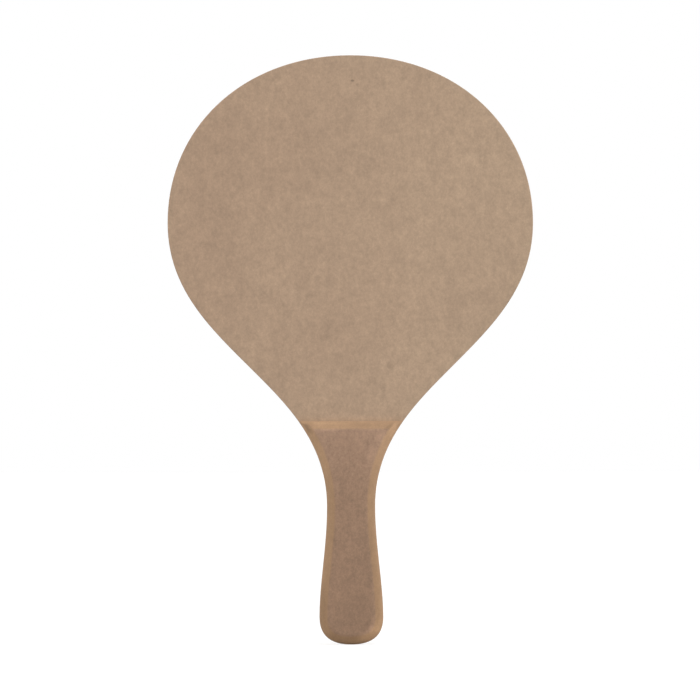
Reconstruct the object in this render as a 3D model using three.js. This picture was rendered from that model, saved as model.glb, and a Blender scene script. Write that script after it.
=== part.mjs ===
import * as THREE from 'three';
import { mergeVertices } from 'three/addons/utils/BufferGeometryUtils.js';

// A frescobol racket: a flat fibreboard blade whose tang is clamped between two bevelled handle scales.
// Millimetres. +Z runs up the racket to the crown, the front faces -Y and +X is to the right of the front.
// The origin lies where a hand closes on the grip: on the centre line, in the board's middle plane.

// Heights of the outline's five places, each measured from the place below it.
const buttRise = 18; // from the butt's end to the butt's widest place
const gripRise = 71; // on to the waist, where the handle is narrowest
const throatRise = 91.5; // on to the flank, where the side leans out most
const shoulderRise = 91.5; // on to the blade's widest place
const crownRise = 108; // on to the top of the blade

// Widths of the outline at those places.
const buttWidth = 41.2;
const waistWidth = 31.1;
const flankWidth = 133.6;
const bladeWidth = 235.7;
const flankLean = Math.PI / 4; // the side's lean from upright at the flank

// How far the handles of each curve reach, as shares of its rise or of its half width, lower end first.
const buttShares = [0.82, 0.51];
const gripShares = [0.3, 0.35];
const throatShares = [0.46, 0.38];
const shoulderShares = [0.39, 0.45];
const crownShares = [0.58, 0.575];

// The blade and its tang are one sheet of board with a lightly eased rim.
const boardThickness = 6;
const rimEase = 0.4; // how far the blade's arris is sanded off
const rimFade = 9; // the way along the side in which the easing grows above the handle

// The two scales, and the adhesive that holds each to the tang.
const scaleThickness = 6;
const glueThickness = 0.25;
const scaleReach = 55; // from the waist up to the square end of the scales
const edgeLand = 2.6; // the upright edge of a scale below its bevel
const bevelWidth = 5.8; // the bevel as seen from the front
const landArrisShare = 0.92; // of the land's height, that rounds over into the bevel
const slopeArrisShare = 0.5; // of the bevel's slope, that this rounding takes in
const faceArrisShare = 0.22; // of the bevel's width, that the upper arris rounds to either side

// The hand closes on the grip this far above the butt's end.
const gripCentre = 72;

// Facets along one side of the outline, stretch by stretch, and round a softened arris.
const buttSteps = 14;
const gripSteps = 12;
const throatSteps = 14;
const flankSteps = 10;
const shoulderSteps = 24;
const crownSteps = 36;
const arrisSteps = 4;
const bisections = 40;

const boardMaterial = new THREE.MeshStandardMaterial({ color: 0xab927b, roughness: 0.85, flatShading: true });
const scaleMaterial = new THREE.MeshStandardMaterial({ color: 0x987c66, roughness: 0.8, flatShading: true });
const glueMaterial = new THREE.MeshStandardMaterial({ color: 0xa58a5c, roughness: 0.5, flatShading: true });

// The right side of the outline as one path, from the middle of the butt's end to the middle of the crown.
// Its points hold the distance from the centre line and the height above the butt's end.
function sidePath() {
  const widestButt = new THREE.Vector2(buttWidth / 2, buttRise);
  const waist = new THREE.Vector2(waistWidth / 2, widestButt.y + gripRise);
  const flank = new THREE.Vector2(flankWidth / 2, waist.y + throatRise);
  const widestBlade = new THREE.Vector2(bladeWidth / 2, flank.y + shoulderRise);
  const crown = new THREE.Vector2(0, widestBlade.y + crownRise);
  const lean = new THREE.Vector2(Math.sin(flankLean), Math.cos(flankLean));

  const path = new THREE.CurvePath();
  const join = (start, startHandle, endHandle, end) =>
    path.add(new THREE.CubicBezierCurve(start, startHandle, endHandle, end));
  const above = (place, rise) => new THREE.Vector2(place.x, place.y + rise);
  const along = (place, reach) => place.clone().addScaledVector(lean, reach);

  join(
    new THREE.Vector2(0, 0),
    new THREE.Vector2(widestButt.x * buttShares[0], 0),
    above(widestButt, -buttRise * buttShares[1]),
    widestButt,
  );
  join(
    widestButt,
    above(widestButt, gripRise * gripShares[0]),
    above(waist, -gripRise * gripShares[1]),
    waist,
  );
  join(
    waist,
    above(waist, throatRise * throatShares[0]),
    along(flank, -throatRise * throatShares[1]),
    flank,
  );
  join(
    flank,
    along(flank, shoulderRise * shoulderShares[0]),
    above(widestBlade, -shoulderRise * shoulderShares[1]),
    widestBlade,
  );
  join(
    widestBlade,
    above(widestBlade, crownRise * crownShares[0]),
    new THREE.Vector2(widestBlade.x * crownShares[1], crown.y),
    crown,
  );
  return path;
}

const side = sidePath();
const sideLength = side.getLength();
const curveEnds = side.getCurveLengths().map((length) => length / sideLength);
const [buttEnd, gripEnd, throatEnd, shoulderEnd, crownEnd] = curveEnds;
const scaleTop = buttRise + gripRise + scaleReach;

// The place on the side at a share of its length, moved square to it into the racket by an inset.
function insetPoint(share, inset) {
  const point = side.getPoint(share);
  const tangent = side.getTangent(share);
  return point.add(new THREE.Vector2(-tangent.y, tangent.x).multiplyScalar(inset));
}

// The share of the side's length at which its inset line climbs through a height.
function shareAtHeight(height, inset) {
  let below = gripEnd;
  let above = crownEnd;
  for (let i = 0; i < bisections; i += 1) {
    const middle = (below + above) / 2;
    if (insetPoint(middle, inset).y < height) below = middle;
    else above = middle;
  }
  return below;
}

// Shares spread evenly over stretches of the side, given as pairs of a stretch's end and its steps.
function spread(stretches) {
  const shares = [0];
  let start = 0;
  for (const [end, steps] of stretches) {
    for (let i = 1; i <= steps; i += 1) shares.push(start + ((end - start) * i) / steps);
    start = end;
  }
  return shares;
}

// A closed line round the racket, from the points of its right side. One on the centre line has no twin.
function bothSides(points) {
  const right = points.map((point) => new THREE.Vector2(Math.max(point.x, 0), point.y));
  const left = right.filter((point) => point.x > 0).map((point) => new THREE.Vector2(-point.x, point.y));
  return right.concat(left.reverse());
}

// The outline of a scale at an inset, cut off square at its upper end, which has an inset of its own.
function scaleOutline(inset, topInset) {
  const cut = shareAtHeight(scaleTop - topInset, inset);
  const shares = spread([[buttEnd, buttSteps], [gripEnd, gripSteps], [cut, throatSteps]]);
  return bothSides(shares.map((share) => insetPoint(share, inset)));
}

// The outline of the whole board, whose points under the scales are those of the scales.
function boardOutline(easing) {
  const cut = shareAtHeight(scaleTop, 0);
  const stretches = [
    [buttEnd, buttSteps],
    [gripEnd, gripSteps],
    [cut, throatSteps],
    [throatEnd, flankSteps],
    [shoulderEnd, shoulderSteps],
    [crownEnd, crownSteps],
  ].sort((a, b) => a[0] - b[0]);
  const fadeShare = rimFade / sideLength;
  return bothSides(spread(stretches).map((share) =>
    insetPoint(share, easing * THREE.MathUtils.smoothstep(share, cut, cut + fadeShare))));
}

// A solid through closed outlines of equal counts, each at its own depth, ordered from front to back.
function solidThrough(outlines, depths) {
  const rings = outlines.map((outline, i) =>
    outline.map((point) => new THREE.Vector3(point.x, depths[i], point.y)));
  const positions = [];
  const addTriangle = (...corners) => {
    if (new THREE.Triangle(...corners).getArea() === 0) return;
    for (const corner of corners) positions.push(corner.x, corner.y, corner.z);
  };
  const last = rings.length - 1;
  for (const [a, b, c] of THREE.ShapeUtils.triangulateShape(outlines[0], [])) {
    addTriangle(rings[0][a], rings[0][b], rings[0][c]);
  }
  for (const [a, b, c] of THREE.ShapeUtils.triangulateShape(outlines[last], [])) {
    addTriangle(rings[last][a], rings[last][c], rings[last][b]);
  }
  for (let k = 0; k < last; k += 1) {
    const front = rings[k];
    const back = rings[k + 1];
    for (let i = 0; i < front.length; i += 1) {
      const next = (i + 1) % front.length;
      addTriangle(front[i], back[i], back[next]);
      addTriangle(front[i], back[next], front[next]);
    }
  }
  const geometry = new THREE.BufferGeometry();
  geometry.setAttribute('position', new THREE.Float32BufferAttribute(positions, 3));
  return mergeVertices(geometry);
}

// The levels of a scale's edge, from the glued face out to the front of the bevel. Round the sides the arrises
// are rounded over once the scale is glued on. The top end, which lies on the blade, keeps its plain bevel.
function edgeLevels() {
  const landCorner = new THREE.Vector2(0, edgeLand);
  const faceCorner = new THREE.Vector2(bevelWidth, scaleThickness);
  const slope = faceCorner.clone().sub(landCorner);
  const faceReach = bevelWidth * faceArrisShare;
  const bevelStart = landCorner.clone().addScaledVector(slope, slopeArrisShare);
  const bevelEnd = faceCorner.clone().addScaledVector(slope.clone().normalize(), -faceReach);

  const section = new THREE.Path();
  section.moveTo(0, 0);
  section.lineTo(0, edgeLand * (1 - landArrisShare));
  section.quadraticCurveTo(landCorner.x, landCorner.y, bevelStart.x, bevelStart.y);
  section.lineTo(bevelEnd.x, bevelEnd.y);
  section.quadraticCurveTo(faceCorner.x, faceCorner.y, bevelWidth + faceReach, scaleThickness);
  return section.getPoints(arrisSteps).map((point) => ({
    height: point.y,
    inset: point.x,
    topInset: Math.max(0, ((point.y - edgeLand) * slope.x) / slope.y),
  }));
}

// A layer of the handle starts on its seat, beside the board, and grows away from it.
// The direction is -1 for the front of the racket and 1 for its back.
function handleLayer(levels, seat, direction) {
  const ordered = direction < 0 ? levels.slice().reverse() : levels;
  const geometry = solidThrough(
    ordered.map((level) => scaleOutline(level.inset, level.topInset)),
    ordered.map((level) => direction * level.height),
  );
  return geometry.translate(0, direction * seat, 0);
}

function bladeBoard() {
  const half = boardThickness / 2;
  const easings = [rimEase, 0, 0, rimEase];
  const depths = [-half, rimEase - half, half - rimEase, half];
  return solidThrough(easings.map(boardOutline), depths);
}

function handleScale(direction) {
  return handleLayer(edgeLevels(), boardThickness / 2 + glueThickness, direction);
}

function glueLine(direction) {
  const levels = [0, glueThickness].map((height) => ({ height, inset: 0, topInset: 0 }));
  return handleLayer(levels, boardThickness / 2, direction);
}

const racket = new THREE.Group();
const assembly = new THREE.Group();
assembly.position.z = -gripCentre;
racket.add(assembly);

function addPiece(name, geometry, material) {
  const piece = new THREE.Mesh(geometry, material);
  piece.name = name;
  assembly.add(piece);
}

addPiece('blade_board', bladeBoard(), boardMaterial);
addPiece('front_glue_line', glueLine(-1), glueMaterial);
addPiece('back_glue_line', glueLine(1), glueMaterial);
addPiece('front_handle_scale', handleScale(-1), scaleMaterial);
addPiece('back_handle_scale', handleScale(1), scaleMaterial);

export default racket;
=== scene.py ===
import math

import bmesh
import bpy
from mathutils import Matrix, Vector


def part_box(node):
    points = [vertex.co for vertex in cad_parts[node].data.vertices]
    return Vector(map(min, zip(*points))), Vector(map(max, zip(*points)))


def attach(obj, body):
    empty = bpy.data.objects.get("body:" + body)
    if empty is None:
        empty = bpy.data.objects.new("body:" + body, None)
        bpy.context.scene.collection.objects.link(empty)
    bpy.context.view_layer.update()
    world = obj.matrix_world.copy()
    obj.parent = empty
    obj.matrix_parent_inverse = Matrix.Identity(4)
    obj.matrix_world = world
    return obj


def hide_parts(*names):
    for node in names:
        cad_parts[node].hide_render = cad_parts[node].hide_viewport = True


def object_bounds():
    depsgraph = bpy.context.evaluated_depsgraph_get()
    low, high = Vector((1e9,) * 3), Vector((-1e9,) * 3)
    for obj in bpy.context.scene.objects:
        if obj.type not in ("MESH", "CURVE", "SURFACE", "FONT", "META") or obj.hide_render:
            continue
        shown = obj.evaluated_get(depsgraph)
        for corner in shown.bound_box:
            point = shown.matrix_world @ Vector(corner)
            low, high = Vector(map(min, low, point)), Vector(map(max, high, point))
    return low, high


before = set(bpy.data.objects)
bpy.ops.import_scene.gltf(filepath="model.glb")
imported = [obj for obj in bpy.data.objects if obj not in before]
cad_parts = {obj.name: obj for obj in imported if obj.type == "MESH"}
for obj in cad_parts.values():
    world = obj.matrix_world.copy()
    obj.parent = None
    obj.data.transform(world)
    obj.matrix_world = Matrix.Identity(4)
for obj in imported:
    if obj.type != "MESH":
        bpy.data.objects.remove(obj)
cad_low, cad_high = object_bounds()

MM = 0.001

# The edges of the scales and of the blade, as the board is cut and sanded.
EDGE_LAND = 2.6 * MM
BEVEL_WIDTH = 5.8 * MM
LAND_ARRIS = 0.92 * EDGE_LAND
SLOPE_ARRIS = 3.4 * MM
FACE_ARRIS = 1.3 * MM
SAWN_ARRIS = 0.25 * MM
ARRIS_STEPS = 6
RIM_EASE = 0.4 * MM
RIM_SEGMENTS = 4
RIM_ANGLE = math.radians(60)
SHARP_ANGLE = math.radians(40)

# Rings on the flat faces inside an edge, which keep the faces flat. On the blade the handling wear
# fades over them.
BLADE_RINGS = (0.7 * MM, 1.0 * MM, 2.0 * MM)
SCALE_RINGS = (0.3 * MM, 0.8 * MM)
WEAR_REACH = 3.0 * MM
WEAR = "wear"

# How near vertices are that become one, and how flat the bend is between faces that become one.
WELD = 0.001 * MM
FLAT_ANGLE = math.radians(0.05)

# The photograph: where the racket lies in its frame, in pixels, and a long lens for its straight view.
PHOTO_SIDE = 700
CROWN_ROW = 54.8
BUTT_ROW = 643.87
CENTRE_COLUMN = 350.16
CAMERA_ROLL = math.radians(0.157)
LENS = 800
SENSOR = 36

# The light, as shares of the light at which a colour renders as it is written. Each softbox has its
# azimuth from the front towards the right, its elevation, its level and its width. Angles are in degrees.
AMBIENT = 0.25
SOFTBOXES = {
    "front softbox": (4, 10, 0.32, 45),
    "overhead softbox": (0, 66, 0.31, 45),
    "right softbox": (74, 10, 0.60, 50),
    "right rim softbox": (118, 12, 0.25, 40),
    "left softbox": (-90, 23, 0.50, 50),
    "back softbox": (160, 21, 0.43, 60),
}
FLOOR_COLOUR = 0.5
FLOOR_GLOW = 0.55
FLOOR_REACH = 14.0


def srgb(red, green, blue):
    """A colour written in 0 to 255, as the shaders take it."""
    def linear(level):
        share = level / 255
        if share <= 0.04045:
            return share / 12.92
        return ((share + 0.055) / 1.055) ** 2.4
    return (linear(red), linear(green), linear(blue), 1.0)


# Meshes

def outline_sheet(node, depth):
    """A bmesh of one face: the outline of a CAD node where a plane at that depth cuts it."""
    bm = bmesh.new()
    bm.from_mesh(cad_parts[node].data)
    bmesh.ops.remove_doubles(bm, verts=bm.verts, dist=WELD)
    bmesh.ops.dissolve_limit(bm, angle_limit=FLAT_ANGLE, verts=bm.verts, edges=bm.edges)
    bmesh.ops.bisect_plane(
        bm,
        geom=bm.verts[:] + bm.edges[:] + bm.faces[:],
        dist=WELD,
        plane_co=(0, depth, 0),
        plane_no=(0, 1, 0),
        clear_inner=True,
        clear_outer=True,
    )
    bmesh.ops.edgeloop_fill(bm, edges=bm.edges)
    return bm


def raise_solid(bm, start, end):
    """Moves a one-face sheet to the depth start, extrudes it to the depth end and returns the new face."""
    (sheet,) = bm.faces
    bmesh.ops.translate(bm, verts=bm.verts, vec=(0, start - sheet.verts[0].co.y, 0))
    made = bmesh.ops.extrude_face_region(bm, geom=[sheet], use_keep_orig=True)["geom"]
    moved = [part for part in made if isinstance(part, bmesh.types.BMVert)]
    (far,) = [part for part in made if isinstance(part, bmesh.types.BMFace)]
    bmesh.ops.translate(bm, verts=moved, vec=(0, end - start, 0))
    bmesh.ops.recalc_face_normals(bm, faces=bm.faces)
    return far


def draw_in(bm, face, inset, rise=0.0):
    """Insets a face and moves it out of its plane, which leaves a ring of faces round it."""
    bmesh.ops.inset_region(
        bm,
        faces=[face],
        use_boundary=True,
        use_even_offset=True,
        thickness=inset,
        depth=rise,
    )


def note_wear(bm, face, amount):
    """Writes how worn the board is round a face."""
    layer = bm.verts.layers.float.get(WEAR) or bm.verts.layers.float.new(WEAR)
    for vert in face.verts:
        vert[layer] = amount


def bend(start, corner, end, steps):
    """Points of a curve that leaves start towards corner and reaches end from it, without start."""
    points = []
    for i in range(1, steps + 1):
        t = i / steps
        points.append(start * (1 - t) ** 2 + corner * 2 * t * (1 - t) + end * t ** 2)
    return points


def scale_section(thickness, land_arris, slope_arris):
    """The section of a scale's edge as points of inset and height, up from the glued face."""
    land_corner = Vector((0, EDGE_LAND))
    face_corner = Vector((BEVEL_WIDTH, thickness))
    slope = (face_corner - land_corner).normalized()
    land_end = Vector((0, EDGE_LAND - land_arris))
    bevel_start = land_corner + slope * slope_arris
    bevel_end = face_corner - slope * FACE_ARRIS
    face_start = Vector((BEVEL_WIDTH + FACE_ARRIS, thickness))
    section = [land_end]
    section += bend(land_end, land_corner, bevel_start, ARRIS_STEPS)
    section += [bevel_end]
    section += bend(bevel_end, face_corner, face_start, ARRIS_STEPS)
    return section


def finished(bm, name, node, material):
    """Makes a bmesh the piece that stands for a CAD node."""
    mesh = bpy.data.meshes.new(name)
    bm.to_mesh(mesh)
    bm.free()
    mesh.shade_smooth()
    mesh.set_sharp_from_angle(angle=SHARP_ANGLE)
    mesh.materials.append(material)
    piece = bpy.data.objects.new(name, mesh)
    bpy.context.scene.collection.objects.link(piece)
    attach(piece, "root")
    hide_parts(node)
    return piece


def blade_sheet(material):
    """The blade and its tang: one board whose arris is eased above the scales only."""
    low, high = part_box("blade_board")
    scale_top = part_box("front_handle_scale")[1].z
    bm = outline_sheet("blade_board", (low.y + high.y) / 2)
    front = raise_solid(bm, high.y, low.y)
    note_wear(bm, front, 1.0)
    back = max((face for face in bm.faces if face is not front), key=lambda face: face.calc_area())
    note_wear(bm, back, 1.0)
    for face in (front, back):
        done = 0.0
        for ring in BLADE_RINGS:
            draw_in(bm, face, ring)
            done += ring
            note_wear(bm, face, max(0.0, 1.0 - done / WEAR_REACH))
    corners = [edge for edge in bm.edges if edge.calc_face_angle() > RIM_ANGLE]
    arris = [edge for edge in corners if min(vert.co.z for vert in edge.verts) > scale_top - WELD]
    bmesh.ops.bevel(
        bm,
        geom=arris,
        offset=RIM_EASE,
        segments=RIM_SEGMENTS,
        profile=0.5,
        affect="EDGES",
        material=-1,
        clamp_overlap=True,
    )
    return finished(bm, "blade_sheet", "blade_board", material)


def saw_off(bm, place, outward):
    """Cuts off all that lies beyond a plane and closes the cut with one face."""
    bmesh.ops.bisect_plane(
        bm,
        geom=bm.verts[:] + bm.edges[:] + bm.faces[:],
        dist=WELD,
        plane_co=place,
        plane_no=outward,
        clear_outer=True,
    )
    bmesh.ops.edgeloop_fill(bm, edges=[edge for edge in bm.edges if edge.is_boundary])


def bevelled_scale(name, node, material):
    """A handle scale, made as a joiner makes one.

    A board of the racket's outline gets a bevel all the way round. Then it is sawn off square above the
    handle, and the sawn end is bevelled too.
    """
    low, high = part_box(node)
    side = math.copysign(1.0, low.y + high.y)
    seat = min(low.y, high.y, key=abs)
    thickness = high.y - low.y
    section = scale_section(thickness, LAND_ARRIS, SLOPE_ARRIS)
    sawn_section = scale_section(thickness, SAWN_ARRIS, SAWN_ARRIS)

    bm = outline_sheet("blade_board", 0.0)
    face = raise_solid(bm, seat, seat + side * section[0].y)
    note_wear(bm, face, 1.0)
    for before, after in zip(section, section[1:]):
        step = after - before
        draw_in(bm, face, step.x, step.y)
        note_wear(bm, face, 1.0 - after.y / thickness)
    for ring in SCALE_RINGS:
        draw_in(bm, face, ring)

    saw_off(bm, (0, seat, high.z), (0, 0, 1))
    for before, after in zip(sawn_section, sawn_section[1:]):
        step = after - before
        saw_off(bm, (0, seat + side * before.y, high.z - before.x), (0, side * step.x, step.y))

    # An edge across the flat field keeps it flat up to the sawn end's bevel.
    bmesh.ops.bisect_plane(
        bm,
        geom=bm.verts[:] + bm.edges[:] + bm.faces[:],
        dist=WELD,
        plane_co=(0, 0, high.z - section[-1].x - SCALE_RINGS[0]),
        plane_no=(0, 0, 1),
    )
    bmesh.ops.recalc_face_normals(bm, faces=bm.faces)
    return finished(bm, name, node, material)


# Materials

# What fibreboard is made of: sizes along the board's width, its thickness and its length.
CLOUD_SIZE = (70 * MM, 70 * MM, 90 * MM)
MOTTLE_SIZE = (6.5 * MM, 6.5 * MM, 8 * MM)
FIBRE_SIZE = (0.45 * MM, 0.6 * MM, 2.6 * MM)
FIBRE_TURNS = (math.radians(15), math.radians(75), math.radians(130))
LAYER_SIZE = (40 * MM, 0.7 * MM, 40 * MM)
PORE_SIZE = (0.5 * MM, 0.35 * MM, 0.5 * MM)
SPECK_CELL = (14 * MM, 14 * MM, 14 * MM)

# The skin turns into the core between these depths, along an uneven border.
SKIN_DEPTHS = (0.9 * MM, 0.05 * MM)
BORDER_SIZE = (3 * MM, 3 * MM, 3 * MM)
BORDER_UNEVENNESS = 0.5 * MM

# How strongly each of them shades the board, and at which values of its noise it begins and ends.
CORE_TINT = (1.17, 1.16, 1.02)
CLOUD_DRIFT = 0.9
CLOUD_SWING = 0.06
LAYER_SWING = 0.04
PORE_SWING = 0.1
FIBRE_SHADES = (0.98, 1.07)
FIBRE_BORDER = (0.58, 0.74)
SPECK_SHADE = 0.88
SPECK_BORDER = (0.05, 0.02)
SPECK_CHOICE = (0.66, 0.68)
RUBBED_SHADE = 0.97
RUBBED_BORDER = (0.35, 0.6)

# A mark fades out between these shares of its reach, and reaches no further into the wood than this.
MARK_BORDER = (0.35, 1.0)
MARK_DEPTH = 17 * MM

# Raw fibreboard is matt. Its sanded fibres stand a few hundredths of a millimetre proud.
CORE_ROUGHNESS = 0.86
SKIN_ROUGHNESS = 0.7
MOTTLE_ROUGHNESS = 0.3
RUBBED_ROUGHNESS = -0.08
BOARD_SPECULAR = 0.35
FIBRE_NAP = 0.35
CORE_NAP = 1.3
SKIN_NAP = 0.5
NAP_DEPTH = 0.03 * MM

# Dried wood glue.
GLUE_POOL_SIZE = (6 * MM, 2 * MM, 6 * MM)
GLUE_BEAD_SIZE = (0.8 * MM, 0.4 * MM, 0.8 * MM)
GLUE_TONES = (srgb(158, 128, 84), srgb(172, 146, 100))
GLUE_TONE_BORDER = (0.35, 0.65)
GLUE_BEAD_SWING = 0.15
GLUE_ROUGHNESS = (0.42, 0.6)
GLUE_ROUGHNESS_BORDER = (0.3, 0.7)
GLUE_RELIEF = 0.05 * MM

RELIEF_STRENGTH = 0.5


class Recipe:
    """The nodes of one material, and short ways to add what a finish is made of."""

    def __init__(self, name):
        self.material = bpy.data.materials.new(name)
        self.material.use_nodes = True
        self.tree = self.material.node_tree
        self.shader = self.tree.nodes["Principled BSDF"]
        self.place = self.add("TexCoord").outputs["Object"]

    def add(self, kind, *values, **settings):
        """A node of a kind with its settings. Its inputs take the values, or nodes' outputs, in turn."""
        node = self.tree.nodes.new("ShaderNode" + kind)
        for name, setting in settings.items():
            setattr(node, name, setting)
        for socket, value in zip(node.inputs, values):
            self.feed(socket, value)
        return node

    def feed(self, socket, value):
        """Gives a socket a value, or the output of another node. None leaves it as it is."""
        if isinstance(value, bpy.types.NodeSocket):
            self.tree.links.new(value, socket)
        elif value is not None:
            socket.default_value = value

    def sum(self, first, second):
        return self.add("Math", first, second, operation="ADD").outputs[0]

    def times(self, first, second):
        return self.add("Math", first, second, operation="MULTIPLY").outputs[0]

    def larger(self, first, second):
        return self.add("Math", first, second, operation="MAXIMUM").outputs[0]

    def size_of(self, value):
        return self.add("Math", value, operation="ABSOLUTE").outputs[0]

    def raised(self, value, power):
        return self.add("Math", value, power, operation="POWER").outputs[0]

    def ramp(self, value, start, end):
        """A straight rise from 0 at start to 1 at end."""
        return self.add("MapRange", value, start, end, 0.0, 1.0).outputs["Result"]

    def fade(self, value, start, end, low=0.0, high=1.0):
        """A smooth step from low at start to high at end."""
        node = self.add("MapRange", value, start, end, low, high, interpolation_type="SMOOTHSTEP")
        return node.outputs["Result"]

    def between(self, share, low, high):
        """A value that goes smoothly from low, where the share is 0, to high, where it is 1."""
        return self.fade(share, 0.0, 1.0, low, high)

    def swing(self, noise, amount):
        """A noise value as a factor round 1."""
        node = self.add("MapRange", noise, 0.0, 1.0, 1.0 - amount, 1.0 + amount, clamp=False)
        return node.outputs["Result"]

    def centred(self, noise):
        """A noise value round 0."""
        return self.sum(noise, -0.5)

    def stretched(self, sizes, turn=0.0):
        """The place on the piece, turned in the board's plane and counted in features of those sizes."""
        turned = self.add("Mapping", self.place, None, (0.0, turn, 0.0), vector_type="POINT").outputs[0]
        shares = tuple(1.0 / size for size in sizes)
        return self.add("VectorMath", turned, shares, operation="MULTIPLY").outputs[0]

    def cloud(self, sizes, octaves, evenness=0.5, turn=0.0):
        """Soft noise from 0 to 1 whose largest features have those sizes.

        Each octave adds features half as large, at the strength of the one before times evenness.
        """
        place = self.stretched(sizes, turn)
        node = self.add("TexNoise", place, None, 1.0, octaves, evenness, noise_dimensions="3D")
        return node.outputs["Fac"]

    def away(self, place, reach, turn):
        """The distance from a place as a share of a reach that differs along three turned axes."""
        local = self.add("Mapping", self.place, place, (0.0, turn, 0.0), reach, vector_type="TEXTURE")
        return self.add("VectorMath", local.outputs[0], operation="LENGTH").outputs["Value"]

    def relief(self, height, depth):
        """Gives the surface a fine relief, so deep where the height is 1."""
        bump = self.add("Bump")
        self.feed(bump.inputs["Strength"], RELIEF_STRENGTH)
        self.feed(bump.inputs["Distance"], depth)
        self.feed(bump.inputs["Height"], height)
        self.feed(self.shader.inputs["Normal"], bump.outputs["Normal"])

    def blend(self, factor, first, second):
        """One colour over another. A Mix node's sockets share their names, so they go by their places."""
        node = self.add("Mix", data_type="RGBA")
        self.feed(node.inputs[0], factor)
        self.feed(node.inputs[6], first)
        self.feed(node.inputs[7], second)
        return node.outputs[2]

    def shaded(self, colour, factor):
        """A colour made lighter or darker by a factor."""
        if isinstance(colour, tuple):
            colour = colour[:3]
        return self.add("VectorMath", colour, None, None, factor, operation="SCALE").outputs[0]


def fibreboard(name, node, tones, across, mottling, marks):
    """Medium-density fibreboard: a finely mottled, sanded skin over a paler core that cut edges show.

    node is a CAD node made of that board. tones are the skin's two colours. across is the axis along which
    the first turns into the second, the two places where this starts and ends, and its power. Each mark
    has its place, its reach along its three axes, its turn in the plane of the board and how much darker
    its middle is.
    """
    mix = Recipe(name)
    axes = mix.add("SeparateXYZ", mix.place).outputs
    low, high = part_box(node)
    middle = abs(low.y + high.y) / 2
    half = (high.y - low.y) / 2
    near, far = tones
    axis, near_place, far_place, power = across

    # Broad clouds, mottling down to single fibre bundles, and curled fibres in three directions.
    clouds = mix.cloud(CLOUD_SIZE, octaves=2.0)
    mottle = mix.cloud(MOTTLE_SIZE, octaves=3.0, evenness=1.0)
    pale_fibres = 0.0
    for turn in FIBRE_TURNS:
        bundle = mix.cloud(FIBRE_SIZE, octaves=1.0, turn=turn)
        pale_fibres = mix.larger(pale_fibres, mix.fade(bundle, *FIBRE_BORDER))

    # The board's tone drifts over its face, and its clouds blur the drift.
    drift = mix.raised(mix.ramp(axes[axis], near_place, far_place), power)
    drift = mix.sum(drift, mix.times(mix.centred(clouds), CLOUD_DRIFT))
    skin = mix.blend(drift, near, far)

    # The core is a little paler and warmer, in thin layers that lie parallel to the faces.
    layers = mix.cloud(LAYER_SIZE, octaves=3.0, evenness=0.7)
    pores = mix.cloud(PORE_SIZE, octaves=2.0, evenness=0.6)
    core = mix.add("VectorMath", skin, CORE_TINT, operation="MULTIPLY").outputs[0]
    core = mix.shaded(core, mix.times(mix.swing(layers, LAYER_SWING), mix.swing(pores, PORE_SWING)))

    # The skin lies furthest from the board's middle plane.
    off_middle = mix.size_of(mix.sum(mix.size_of(axes["Y"]), -middle))
    ragged = mix.cloud(BORDER_SIZE, octaves=3.0, evenness=0.6)
    height = mix.sum(off_middle, mix.times(mix.centred(ragged), BORDER_UNEVENNESS))
    core_depth, skin_depth = SKIN_DEPTHS
    skin_share = mix.fade(height, half - core_depth, half - skin_depth)

    # The sanded skin is mottled, and the core only about half as much.
    colour = mix.blend(skin_share, core, skin)
    mottled = mix.times(mix.centred(mottle), mix.between(skin_share, mottling, 2 * mottling))
    factor = mix.times(mix.sum(mottled, 1.0), mix.swing(clouds, CLOUD_SWING))
    factor = mix.times(factor, mix.between(pale_fibres, *FIBRE_SHADES))

    # A dark speck of bark in one of many cells, and the marks that this board has, some of them
    # painted light or shade.
    place = mix.stretched(SPECK_CELL)
    cells = mix.add("TexVoronoi", place, None, 1.0, voronoi_dimensions="3D").outputs
    chosen = mix.add("SeparateColor", cells["Color"]).outputs[0]
    speck = mix.times(mix.fade(cells["Distance"], *SPECK_BORDER), mix.fade(chosen, *SPECK_CHOICE))
    factor = mix.times(factor, mix.between(speck, 1.0, SPECK_SHADE))
    for place, reach, turn, darkness in marks:
        share = mix.away(place, reach, turn)
        factor = mix.times(factor, mix.fade(share, *MARK_BORDER, 1.0 - darkness, 1.0))

    # Handling has polished and darkened the arrises a little.
    wear = mix.add("Attribute", attribute_name=WEAR).outputs["Fac"]
    rubbed = mix.times(wear, mix.fade(mottle, *RUBBED_BORDER))
    factor = mix.times(factor, mix.between(rubbed, 1.0, RUBBED_SHADE))
    mix.feed(mix.shader.inputs["Base Color"], mix.shaded(colour, factor))

    # The skin is a little smoother than the cut edges, and its nap is lower.
    rough = mix.between(skin_share, CORE_ROUGHNESS, SKIN_ROUGHNESS)
    rough = mix.sum(rough, mix.times(mix.centred(mottle), MOTTLE_ROUGHNESS))
    rough = mix.sum(rough, mix.times(rubbed, RUBBED_ROUGHNESS))
    mix.feed(mix.shader.inputs["Roughness"], rough)
    mix.shader.inputs["Specular IOR Level"].default_value = BOARD_SPECULAR
    nap = mix.times(pores, mix.between(skin_share, CORE_NAP, SKIN_NAP))
    nap = mix.sum(mix.times(pale_fibres, FIBRE_NAP), nap)
    mix.relief(mix.sum(nap, mottle), NAP_DEPTH)
    return mix.material


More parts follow.
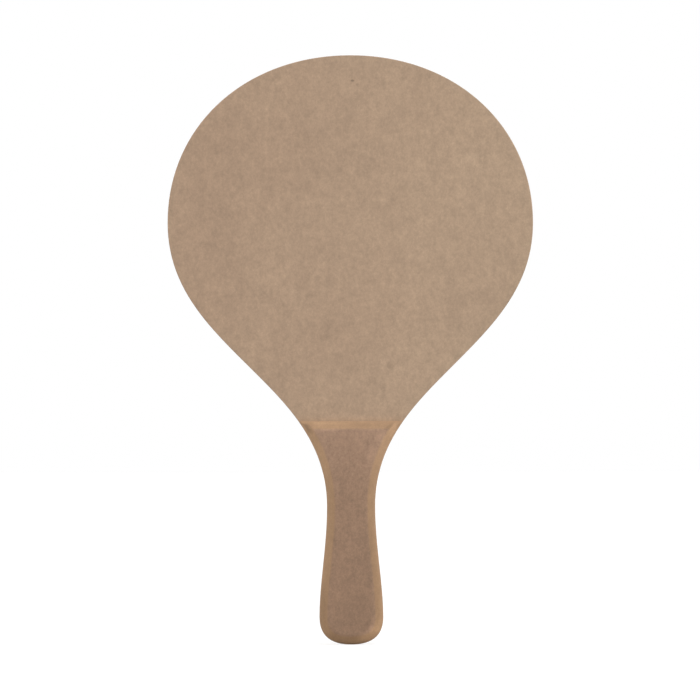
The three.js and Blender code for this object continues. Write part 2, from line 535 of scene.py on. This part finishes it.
def wood_glue():
    """Dried wood glue: yellowish, satin, uneven where the press squeezed it."""
    mix = Recipe("dried wood glue")
    pools = mix.cloud(GLUE_POOL_SIZE, octaves=3.0, evenness=0.6)
    beads = mix.cloud(GLUE_BEAD_SIZE, octaves=2.0, evenness=0.6)
    dry = mix.blend(mix.fade(pools, *GLUE_TONE_BORDER), *GLUE_TONES)
    rough = mix.fade(pools, *GLUE_ROUGHNESS_BORDER, *GLUE_ROUGHNESS)
    mix.feed(mix.shader.inputs["Base Color"], mix.shaded(dry, mix.swing(beads, GLUE_BEAD_SWING)))
    mix.feed(mix.shader.inputs["Roughness"], rough)
    mix.relief(beads, GLUE_RELIEF)
    return mix.material


# The stage

def seen_white(tree):
    """A socket that is 1 for the rays that show the background: camera, mirrored and refracted ones."""
    path = tree.nodes.new("ShaderNodeLightPath").outputs
    seen = path["Is Camera Ray"]
    for ray in ("Is Glossy Ray", "Is Transmission Ray"):
        either = tree.nodes.new("ShaderNodeMath")
        either.operation = "MAXIMUM"
        tree.links.new(seen, either.inputs[0])
        tree.links.new(path[ray], either.inputs[1])
        seen = either.outputs[0]
    return seen


def pale_floor():
    """A wide matt floor that renders white and keeps the racket's shadow."""
    material = bpy.data.materials.new("pale floor")
    material.use_nodes = True
    tree = material.node_tree
    tree.nodes.clear()
    matt = tree.nodes.new("ShaderNodeBsdfDiffuse")
    matt.inputs["Color"].default_value = (FLOOR_COLOUR, FLOOR_COLOUR, FLOOR_COLOUR, 1.0)
    glow = tree.nodes.new("ShaderNodeEmission")
    strength = tree.nodes.new("ShaderNodeMath")
    strength.operation = "MULTIPLY"
    strength.inputs[1].default_value = FLOOR_GLOW
    tree.links.new(seen_white(tree), strength.inputs[0])
    tree.links.new(strength.outputs[0], glow.inputs["Strength"])
    both = tree.nodes.new("ShaderNodeAddShader")
    tree.links.new(matt.outputs[0], both.inputs[0])
    tree.links.new(glow.outputs[0], both.inputs[1])
    out = tree.nodes.new("ShaderNodeOutputMaterial")
    tree.links.new(both.outputs[0], out.inputs["Surface"])

    bm = bmesh.new()
    bmesh.ops.create_grid(bm, x_segments=1, y_segments=1, size=FLOOR_REACH)
    bmesh.ops.translate(bm, verts=bm.verts, vec=(0, 0, cad_low.z))
    mesh = bpy.data.meshes.new("floor")
    bm.to_mesh(mesh)
    bm.free()
    mesh.materials.append(material)
    floor = bpy.data.objects.new("floor", mesh)
    bpy.context.scene.collection.objects.link(floor)


def softbox(name, azimuth, elevation, level, width):
    """A wide lamp, far away in a direction. The level is the light on a face turned to it."""
    data = bpy.data.lights.new(name, "SUN")
    data.energy = math.pi * level
    data.angle = math.radians(width)
    lamp = bpy.data.objects.new(name, data)
    lamp.rotation_euler = (math.pi / 2 - math.radians(elevation), 0, math.radians(azimuth))
    bpy.context.scene.collection.objects.link(lamp)


def white_room():
    """An even, pale room that the camera sees as white."""
    world = bpy.data.worlds.new("white room")
    bpy.context.scene.world = world
    world.use_nodes = True
    tree = world.node_tree
    background = tree.nodes["Background"]
    background.inputs["Color"].default_value = (1.0, 1.0, 1.0, 1.0)
    level = tree.nodes.new("ShaderNodeMapRange")
    level.inputs["To Min"].default_value = AMBIENT
    level.inputs["To Max"].default_value = 1.0
    tree.links.new(seen_white(tree), level.inputs["Value"])
    tree.links.new(level.outputs["Result"], background.inputs["Strength"])


def photo_camera():
    """A long lens straight in front, framed so that the racket covers the photograph's pixels."""
    pixel = (cad_high.z - cad_low.z) / (BUTT_ROW - CROWN_ROW)
    middle = (PHOTO_SIDE - 1) / 2
    data = bpy.data.cameras.new("photo camera")
    data.lens = LENS
    data.sensor_width = SENSOR
    data.clip_end = FLOOR_REACH * 2
    camera = bpy.data.objects.new("photo camera", data)
    camera.location = (
        (cad_low.x + cad_high.x) / 2 - (CENTRE_COLUMN - middle) * pixel,
        -PHOTO_SIDE * pixel * LENS / SENSOR,
        cad_high.z - (middle - CROWN_ROW) * pixel,
    )
    camera.rotation_euler = (math.pi / 2, CAMERA_ROLL, 0)
    bpy.context.scene.collection.objects.link(camera)
    bpy.context.scene.camera = camera


# The racket

# The blade's tone changes from left to right, and the handle's mostly near its upper end.
BLADE_TONES = (srgb(169.5, 142.5, 118.5), srgb(176, 150.5, 125.5))
BLADE_DRIFT_POWER = 1.0
BLADE_MOTTLING = 0.38
HANDLE_TONES = (srgb(143.5, 114.5, 92), srgb(161.5, 130.5, 107.5))
HANDLE_DRIFT_POWER = 3.0
HANDLE_DRIFT_START = 7 * MM
HANDLE_DRIFT_END = 6 * MM
HANDLE_MOTTLING = 0.46

# The marks of this racket. Each has its middle, to the right of the centre line and up from the end that
# its group is named for, its reach along a slope and across it, the slope, and how much darker its middle
# is. Lengths are in millimetres and slopes in degrees. Below 0 of darkness a mark is paler than the wood.
# Most marks on the handle and the blade's pale strip are painted light or shade.
MARKS_BELOW_CROWN = {
    "speck of bark": (1.7, -16.4, 1.7, 1.0, 0, 0.42),
    "fainter speck beside it": (4.6, -18.9, 1.4, 1.2, 0, 0.14),
}
MARKS_ABOVE_SCALES = {
    "smudge": (25.8, 36.6, 3.6, 3.6, 0, 0.14),
    "pale strip that offsets the shade of the scales": (0.0, 0.0, 40.0, 6.0, 0, -0.11),
}
MARKS_BELOW_SCALE_END = {
    # Painted shade: the mitres and the side bevels beside them, darkened where they turn away from the
    # light.
    "painted shade on the left mitre": (-27.2, -4.9, 5.5, 3.2, -55, 0.2),
    "outer end of that painted shade": (-29.4, -2.0, 4.0, 2.0, -50, 0.19),
    "painted shade on the right mitre": (24.3, -4.0, 5.0, 1.8, 39, 0.18),
    # Painted light: the left part of the top bevel, lightened where light from above falls on it.
    "painted light on the left end of the top bevel": (-20.0, -1.4, 7.0, 2.4, 0, -0.08),
    "painted light on the left half of the top bevel": (-13.0, -2.8, 20.0, 4.0, 0, -0.12),
    # Painted light: the bevels below both mitres, lightened where light falls on them.
    "painted light on the right bevel below the mitre": (27.3, -5.7, 8.0, 3.2, 63, -0.16),
    "painted light on the field below the right mitre": (16.5, -19.5, 20.0, 7.0, 67, -0.10),
    "painted light on the field below the left mitre": (-15.5, -27.5, 24.0, 6.0, -73, -0.08),
}
MARKS_ABOVE_BUTT_END = {
    "dark streak left of the grip": (-20.5, 24.0, 24.0, 8.0, 90, 0.12),
    "dark streak right of the grip": (11.3, 62.0, 28.0, 5.0, 95, 0.09),
    # Painted light: the butt's right corner, lightened where light from the lower right falls on it.
    "painted light on the butt's right corner": (11.6, 6.7, 11.0, 5.6, 36, -0.27),
    "dark line inside that corner": (9.6, 11.6, 6.5, 2.4, 60, 0.13),
    # Painted light: the end of the butt, lightened to offset the shade there, and a painted highlight on
    # the
    # right-hand arris and the bevel inside it above the corner.
    "painted light on the end of the butt": (0.0, 0.0, 16.0, 2.4, 0, -0.2),
    "painted highlight on the arris above the corner": (18.6, 12.0, 11.0, 3.6, 76, -0.22),
    "painted light on the bevel inside that arris": (14.3, 13.5, 9.0, 2.6, 76, -0.13),
    "upper end of that painted highlight": (19.2, 26.0, 10.0, 2.4, 93, -0.12),
}


def marks_on(face, end, marks):
    """Marks as a finish takes them, on a front face at the depth face. end is their end's height."""
    placed = []
    for x, rise, reach, width, slope, darkness in marks.values():
        middle = (x * MM, face, end + rise * MM)
        reaches = (reach * MM, min(reach * MM, MARK_DEPTH), width * MM)
        placed.append((middle, reaches, -math.radians(slope), darkness))
    return placed


blade_low, blade_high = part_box("blade_board")
scale_low, scale_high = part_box("front_handle_scale")

blade_board_finish = fibreboard(
    "sanded blade fibreboard",
    node="blade_board",
    tones=BLADE_TONES,
    across=("X", blade_low.x, blade_high.x, BLADE_DRIFT_POWER),
    mottling=BLADE_MOTTLING,
    marks=marks_on(blade_low.y, blade_high.z, MARKS_BELOW_CROWN)
    + marks_on(blade_low.y, scale_high.z, MARKS_ABOVE_SCALES),
)
handle_board_finish = fibreboard(
    "sanded handle fibreboard",
    node="front_handle_scale",
    tones=HANDLE_TONES,
    across=("Z", scale_low.z + HANDLE_DRIFT_START, scale_high.z - HANDLE_DRIFT_END, HANDLE_DRIFT_POWER),
    mottling=HANDLE_MOTTLING,
    marks=marks_on(scale_low.y, scale_high.z, MARKS_BELOW_SCALE_END)
    + marks_on(scale_low.y, scale_low.z, MARKS_ABOVE_BUTT_END),
)

blade_sheet(blade_board_finish)
bevelled_scale("front_bevelled_scale", "front_handle_scale", handle_board_finish)
bevelled_scale("back_bevelled_scale", "back_handle_scale", handle_board_finish)

glue_finish = wood_glue()
for glue_line in ("front_glue_line", "back_glue_line"):
    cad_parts[glue_line].material_slots[0].material = glue_finish

pale_floor()
white_room()
for name, settings in SOFTBOXES.items():
    softbox(name, *settings)
photo_camera()
bpy.context.scene.view_settings.view_transform = "Standard"
